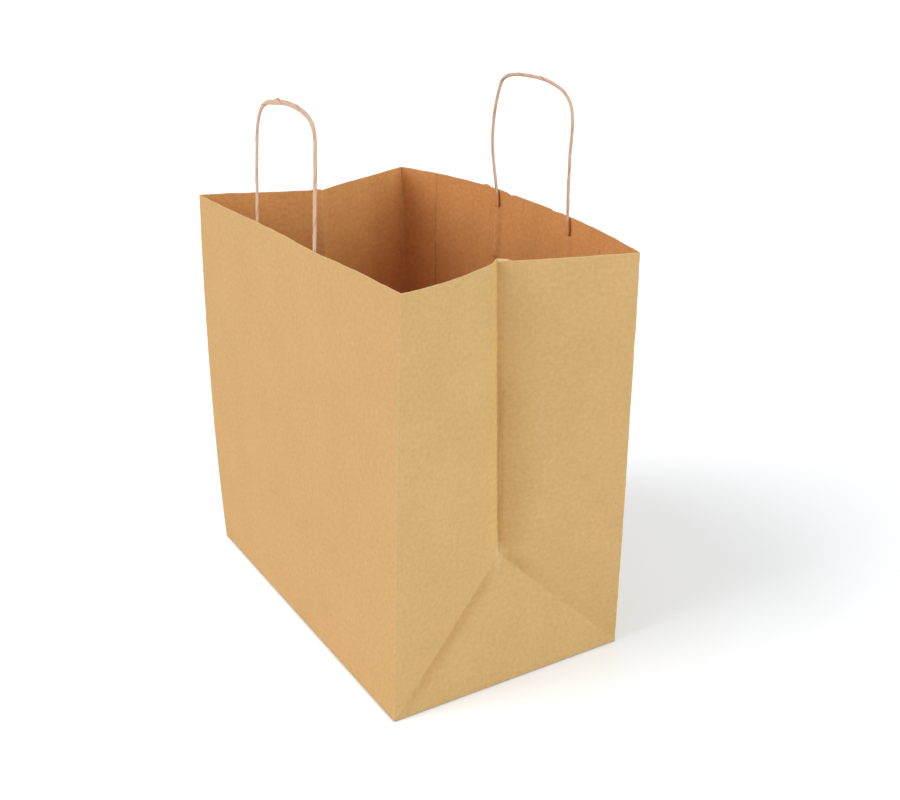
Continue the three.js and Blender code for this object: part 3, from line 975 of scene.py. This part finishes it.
def cord_paper():
    """Pale kraft in fine strands, with a line of painted shade where the strip's edge is wound over
    it, and painted shade and warm bounced light on its ends inside the bag."""
    material, tree = start_material("cord_paper")
    turn = paint(tree, "turn")
    run = parts_of(paint(tree, "run"))[0]
    turn_x, turn_y, _ = parts_of(turn)
    phase = run * (2.0 * math.pi / cord_sizes["Lap Length"])
    facing = turn_x * calc("COSINE", phase) + turn_y * calc("SINE", phase)
    aside = turn_y * calc("COSINE", phase) - turn_x * calc("SINE", phase)

    def twisted(around, lengthwise, detail):
        """Noise that winds round the cord, so fine around it and along it."""
        point = join_parts(tree, facing * around, aside * around, run * lengthwise)
        return uneven(tree, point, 1.0, detail)

    strands = twisted(2.6, 60.0, 3.0)
    patches = twisted(0.7, 150.0, 2.0)
    fine = twisted(6.0, 900.0, 2.0)
    # A line of painted shade along the wound edge, and a fainter one on the far side
    lap_shade = ramp(facing, 0.90, 0.99) * ramp(patches, -1.2, 0.1)
    second_lap_shade = ramp(calc("MULTIPLY", facing, -1.0), 0.95, 0.995) * ramp(patches, 0.0, 0.8)
    shade = 1.0 + strands * 0.07 + patches * 0.04 + fine * 0.03
    colour = calc("MULTIPLY", cord_tone, shade)
    colour = mix(colour, lap_shade_tone, calc("MAXIMUM", lap_shade * 0.6, second_lap_shade * 0.35))
    # Painted shade and warm bounced light on the cord's ends inside the bag, ending at the rim
    pasted = fade(parts_of(paint(tree, "from_end"))[0], in_bag - inside_shade_fade, in_bag)
    end_material(
        tree,
        colour=shaded(colour, inside_bag_shade, pasted),
        roughness=0.66 + patches * 0.05,
        relief=strands * 0.5 + fine * 0.2 - lap_shade,
        relief_depth=0.00010,
        gloss=0.4,
    )
    return material


cord_sizes["Paper"] = cord_paper()
cord_nodes = cord_tree(cord_sizes)
cord_sharp_above = 40.0
back_cord_sizes = {
    "Wide Radius": 0.00140,
    "Narrow Radius": 0.00118,
    "Loose Edge At": 0.118,
    "Loose Edge Rise": 0.0005,
    "Seed": 8.0,
}
cord_facts = {
    "front": {"into_bag": 1.0, "lean": front_lean, "length": 0.370, "sizes": {}},
    "back": {"into_bag": -1.0, "lean": 0.0, "length": 0.386, "sizes": back_cord_sizes},
}
leg = (-in_bag, -strip_drop - leg_depth / 2, -strip_drop, leg_rise - strip_drop)
for panel, arch in arches.items():
    facts = cord_facts[panel]
    into_bag = facts["into_bag"]
    half_spacing = leg_spacings[panel] / 2
    shape = [(-half_spacing, rise) for rise in leg]
    shape += [(across / 1000, rise / 1000) for across, rise in arch]
    shape += [(half_spacing, rise) for rise in reversed(leg)]
    route = []
    for across, rise in shape:
        point = inside_panel(panel_middles[panel] + into_bag * across, height + rise, cord_depth)
        point.y += into_bag * facts["lean"] * max(rise, 0.0)
        route.append(point)
    line = smooth_line(route, cord_sizes["Ring Spacing"])
    line_mesh = bpy.data.meshes.new("cord_line")
    line_mesh.from_pydata(line, [(i, i + 1) for i in range(len(line) - 1)], [])
    sizes = {**cord_sizes, **facts["sizes"]}
    cord = make_piece(f"{panel}_handle_paper", cord_nodes, sizes, line_mesh)
    cord.data.polygons.foreach_set("use_smooth", [True] * len(cord.data.polygons))
    cord.data.set_sharp_from_angle(angle=math.radians(cord_sharp_above))
    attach(cord, "root")
    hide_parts(f"{panel}_handle_cord")


# The floor: a plain pale sheet that carries the bag's soft shadow, with painted contact shade, from
# ambient occlusion, in a thin dark line where the bag stands on it. It is brighter for the camera
# than for the bag, so it shows white around it.
half_floor = 15.0
floor_drop = 0.0004
cast_shade = (0.62, 0.62, 0.62)
seen_lift = (0.205, 0.22, 0.25)
seen_glow = 0.30
contact_reach = 0.003
contact_shade = 0.20
floor_mesh = bpy.data.meshes.new("floor")
floor_signs = ((-1, -1), (1, -1), (1, 1), (-1, 1))
floor_corners = [(x * half_floor, y * half_floor, -floor_drop) for x, y in floor_signs]
floor_mesh.from_pydata(floor_corners, [], [(0, 1, 2, 3)])
floor = bpy.data.objects.new("floor", floor_mesh)
bpy.context.scene.collection.objects.link(floor)
pale, pale_tree = start_material("pale_floor")


def seen_directly(tree):
    """1 for the camera's own rays and for those in gloss and glass, and 0 for the others."""
    rays = tree.nodes.new("ShaderNodeLightPath")
    seen = Field(tree, rays.outputs["Is Camera Ray"])
    for ray in ("Is Glossy Ray", "Is Transmission Ray"):
        seen = calc("MAXIMUM", seen, Field(tree, rays.outputs[ray]))
    return seen


flecks = uneven(pale_tree, add_node(pale_tree, "ShaderNodeTexCoord", output="Object"), 300.0)
seen = seen_directly(pale_tree)
# Painted contact shade: ambient occlusion darkens the floor where the bag stands
openness = add_node(pale_tree, "ShaderNodeAmbientOcclusion", {"Distance": contact_reach}, "AO")
openness = mix(contact_shade, 1.0, openness)
pale_shader = end_material(
    pale_tree,
    colour=(calc("MULTIPLY", seen_lift, seen) + cast_shade) * openness,
    roughness=0.95 + flecks * 0.01,
    relief=flecks,
    relief_depth=0.00001,
    gloss=0.0,
)
pale_shader.inputs["Emission Color"].default_value = (1.0, 1.0, 1.0, 1.0)
feed(pale_tree, pale_shader.inputs["Emission Strength"], seen * seen_glow * openness)
floor_mesh.materials.append(pale)


# The light: an even sky, a low soft light from the front, a low cool one from the right, and a
# high one for the floor alone, which throws the bag's shadow behind it.
sky_light = 0.52
bpy.context.scene.view_settings.view_transform = "Standard"
world = bpy.data.worlds.new("studio")
bpy.context.scene.world = world
world.use_nodes = True
world_tree = world.node_tree
world_tree.nodes.clear()
sky = world_tree.nodes.new("ShaderNodeBackground")
sky.inputs["Color"].default_value = (1.0, 1.0, 1.0, 1.0)
feed(world_tree, sky.inputs["Strength"], mix(sky_light, 1.0, seen_directly(world_tree)))
world_output = world_tree.nodes.new("ShaderNodeOutputWorld")
world_tree.links.new(sky.outputs[0], world_output.inputs["Surface"])


def soft_light(name, towards_light, strength, spread, colour):
    """A wide soft light from far away. Its strength is what it adds to a surface that faces it."""
    light = bpy.data.lights.new(name, "SUN")
    light.energy = strength * math.pi
    light.angle = math.radians(spread)
    light.color = colour
    lamp = bpy.data.objects.new(name, light)
    lamp.rotation_euler = Vector(towards_light).to_track_quat("Z", "Y").to_euler()
    bpy.context.scene.collection.objects.link(lamp)
    return lamp


warm_white = (1.0, 0.99, 0.97)
cool_white = (0.80, 0.98, 0.96)
plain_white = (1.0, 1.0, 1.0)
soft_light("front_light", (-0.12, -0.92, 0.36), strength=0.43, spread=42.0, colour=warm_white)
soft_light("right_light", (0.93, 0.35, 0.21), strength=0.47, spread=34.0, colour=cool_white)
floor_light = soft_light(
    "floor_light", (-0.25, -0.78, 0.80), strength=0.42, spread=34.0, colour=plain_white
)
floor_only = bpy.data.collections.new("floor_only")
floor_only.objects.link(floor)
floor_light.light_linking.receiver_collection = floor_only


# The camera, in the place and with the lens that the view of the bag's corners gives.
camera_place = (0.8021, -0.4457, 0.5582)
camera_heading = 58.65
camera_dip = 22.88
camera_roll = 0.29
camera_lens = 49.44
view = bpy.data.cameras.new("camera")
view.sensor_fit = "HORIZONTAL"
view.sensor_width = 36.0
view.lens = camera_lens
view.clip_end = 60.0
camera = bpy.data.objects.new("camera", view)
turned = Matrix.Rotation(math.radians(camera_heading), 4, "Z")
turned @= Matrix.Rotation(math.radians(90.0 - camera_dip), 4, "X")
turned @= Matrix.Rotation(math.radians(camera_roll), 4, "Z")
camera.matrix_world = Matrix.Translation(camera_place) @ turned
bpy.context.scene.collection.objects.link(camera)
bpy.context.scene.camera = camera
